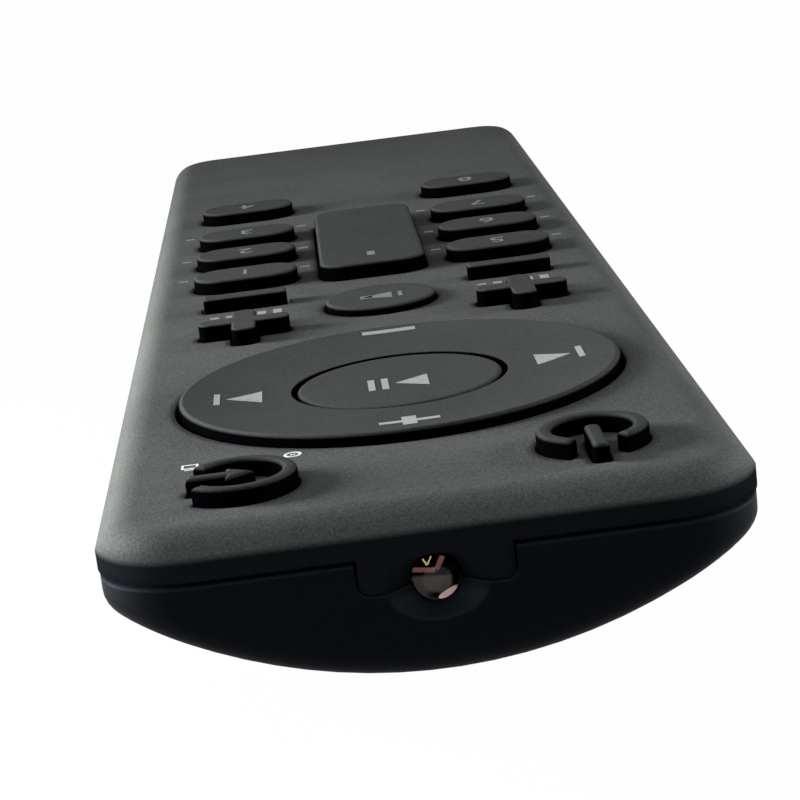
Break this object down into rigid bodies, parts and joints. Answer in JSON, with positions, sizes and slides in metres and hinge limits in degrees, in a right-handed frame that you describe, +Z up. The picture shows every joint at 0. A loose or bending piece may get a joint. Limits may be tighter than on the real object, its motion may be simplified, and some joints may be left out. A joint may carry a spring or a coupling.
{
  "type": "soundbar remote control",
  "caption": "Slim soundbar remote control with sprung keys, a rocking four-way ring and a battery bay under a hinged cover.",
  "frame": {"origin": "centre of the footprint on the surface that the remote lies on", "axes": "+Y along the remote to its tail, +Z up through the keys, +X to the right seen from the infrared end"},
  "size_m": [0.042, 0.159, 0.0199],
  "materials": {
    "upper_case": "fine moulded grain, charcoal",
    "lower_case": "smooth satin, near black",
    "key_plastic": "satin, charcoal, slightly worn on top",
    "ring_plastic": "satin, charcoal",
    "lens": "clear moulded epoxy",
    "board": "green solder mask",
    "rubber_mat": "dull silicone",
    "carbon_rubber": "dull carbon print",
    "tinned_wire": "tinned",
    "plated_steel": "nickel plated",
    "screw_steel": "blackened steel",
    "cell_sleeve": "printed sleeve, plain",
    "chip_plastic": "moulded epoxy",
    "resonator_case": "dipped coating",
    "capacitor_can": "sleeved can"
  },
  "bodies": {
    "case": {"battery_cell_left": "cell_sleeve", "battery_cell_right": "cell_sleeve", "battery_spring_back": "plated_steel", "battery_spring_front": "plated_steel", "bottom_shell": "lower_case", "bridge_contact": "plated_steel", "buffer_capacitor": "capacitor_can", "case_screws": "screw_steel", "chip_resistors": "chip_plastic", "circuit_board": "board", "driver_transistor": "chip_plastic", "ir_led": "lens", "key_mat": "rubber_mat", "led_leads": "tinned_wire", "remote_ic": "chip_plastic", "resonator": "resonator_case", "terminal_negative": "plated_steel", "terminal_positive": "plated_steel", "top_shell": "upper_case"},
    "power_key": {"power_key": "key_plastic", "power_key_contact": "carbon_rubber"},
    "source_key": {"source_key": "key_plastic", "source_key_contact": "carbon_rubber"},
    "plus_key_left": {"plus_key_left": "key_plastic", "plus_key_left_contact": "carbon_rubber"},
    "minus_key_left": {"minus_key_left": "key_plastic", "minus_key_left_contact": "carbon_rubber"},
    "pill_key_left_1": {"pill_key_left_1": "key_plastic", "pill_key_left_1_contact": "carbon_rubber"},
    "pill_key_left_2": {"pill_key_left_2": "key_plastic", "pill_key_left_2_contact": "carbon_rubber"},
    "pill_key_left_3": {"pill_key_left_3": "key_plastic", "pill_key_left_3_contact": "carbon_rubber"},
    "pill_key_left_4": {"pill_key_left_4": "key_plastic", "pill_key_left_4_contact": "carbon_rubber"},
    "plus_key_right": {"plus_key_right": "key_plastic", "plus_key_right_contact": "carbon_rubber"},
    "minus_key_right": {"minus_key_right": "key_plastic", "minus_key_right_contact": "carbon_rubber"},
    "pill_key_right_1": {"pill_key_right_1": "key_plastic", "pill_key_right_1_contact": "carbon_rubber"},
    "pill_key_right_2": {"pill_key_right_2": "key_plastic", "pill_key_right_2_contact": "carbon_rubber"},
    "pill_key_right_3": {"pill_key_right_3": "key_plastic", "pill_key_right_3_contact": "carbon_rubber"},
    "pill_key_right_4": {"pill_key_right_4": "key_plastic", "pill_key_right_4_contact": "carbon_rubber"},
    "round_key": {"round_key": "key_plastic", "round_key_contact": "carbon_rubber"},
    "tall_key": {"tall_key": "key_plastic", "tall_key_contact": "carbon_rubber"},
    "play_key": {"play_key": "key_plastic", "play_key_contact": "carbon_rubber"},
    "nav_collar": {"nav_collar": "rubber_mat"},
    "nav_ring": {"nav_ring": "ring_plastic", "nav_contacts": "carbon_rubber"},
    "battery_cover": {"battery_cover": "lower_case"}
  },
  "joints": [
    {"name": "power_key_press", "type": "slide", "parent": "case", "child": "power_key", "axis": [0, 0, -1], "range_m": [0, 0.0008], "stiffness_N_per_m": 1200},
    {"name": "source_key_press", "type": "slide", "parent": "case", "child": "source_key", "axis": [0, 0, -1], "range_m": [0, 0.0008], "stiffness_N_per_m": 1200},
    {"name": "plus_key_left_press", "type": "slide", "parent": "case", "child": "plus_key_left", "axis": [0, 0, -1], "range_m": [0, 0.0008], "stiffness_N_per_m": 1200},
    {"name": "minus_key_left_press", "type": "slide", "parent": "case", "child": "minus_key_left", "axis": [0, 0, -1], "range_m": [0, 0.0008], "stiffness_N_per_m": 1200},
    {"name": "pill_key_left_1_press", "type": "slide", "parent": "case", "child": "pill_key_left_1", "axis": [0, 0, -1], "range_m": [0, 0.0008], "stiffness_N_per_m": 1200},
    {"name": "pill_key_left_2_press", "type": "slide", "parent": "case", "child": "pill_key_left_2", "axis": [0, 0, -1], "range_m": [0, 0.0008], "stiffness_N_per_m": 1200},
    {"name": "pill_key_left_3_press", "type": "slide", "parent": "case", "child": "pill_key_left_3", "axis": [0, 0, -1], "range_m": [0, 0.0008], "stiffness_N_per_m": 1200},
    {"name": "pill_key_left_4_press", "type": "slide", "parent": "case", "child": "pill_key_left_4", "axis": [0, 0, -1], "range_m": [0, 0.0008], "stiffness_N_per_m": 1200},
    {"name": "plus_key_right_press", "type": "slide", "parent": "case", "child": "plus_key_right", "axis": [0, 0, -1], "range_m": [0, 0.0008], "stiffness_N_per_m": 1200},
    {"name": "minus_key_right_press", "type": "slide", "parent": "case", "child": "minus_key_right", "axis": [0, 0, -1], "range_m": [0, 0.0008], "stiffness_N_per_m": 1200},
    {"name": "pill_key_right_1_press", "type": "slide", "parent": "case", "child": "pill_key_right_1", "axis": [0, 0, -1], "range_m": [0, 0.0008], "stiffness_N_per_m": 1200},
    {"name": "pill_key_right_2_press", "type": "slide", "parent": "case", "child": "pill_key_right_2", "axis": [0, 0, -1], "range_m": [0, 0.0008], "stiffness_N_per_m": 1200},
    {"name": "pill_key_right_3_press", "type": "slide", "parent": "case", "child": "pill_key_right_3", "axis": [0, 0, -1], "range_m": [0, 0.0008], "stiffness_N_per_m": 1200},
    {"name": "pill_key_right_4_press", "type": "slide", "parent": "case", "child": "pill_key_right_4", "axis": [0, 0, -1], "range_m": [0, 0.0008], "stiffness_N_per_m": 1200},
    {"name": "round_key_press", "type": "slide", "parent": "case", "child": "round_key", "axis": [0, 0, -1], "range_m": [0, 0.0008], "stiffness_N_per_m": 1200},
    {"name": "tall_key_press", "type": "slide", "parent": "case", "child": "tall_key", "axis": [0, 0, -1], "range_m": [0, 0.0008], "stiffness_N_per_m": 1200},
    {"name": "play_key_press", "type": "slide", "parent": "case", "child": "play_key", "axis": [0, 0, -1], "range_m": [0, 0.0005], "stiffness_N_per_m": 1200},
    {"name": "ring_rock_up_down", "type": "hinge", "parent": "case", "child": "nav_collar", "pos_m": [0, -0.0482, 0.0185], "axis": [1, 0, 0], "range_deg": [-1.35, 1.35], "stiffness_Nm_per_rad": 0.85},
    {"name": "ring_rock_left_right", "type": "hinge", "parent": "nav_collar", "child": "nav_ring", "pos_m": [0, -0.0482, 0.0185], "axis": [0, 1, 0], "range_deg": [-1.35, 1.35], "stiffness_Nm_per_rad": 0.85},
    {"name": "battery_cover_swing", "type": "hinge", "parent": "case", "child": "battery_cover", "pos_m": [0, 0.0077, 0], "axis": [-1, 0, 0], "range_deg": [0, 70]}
  ]
}
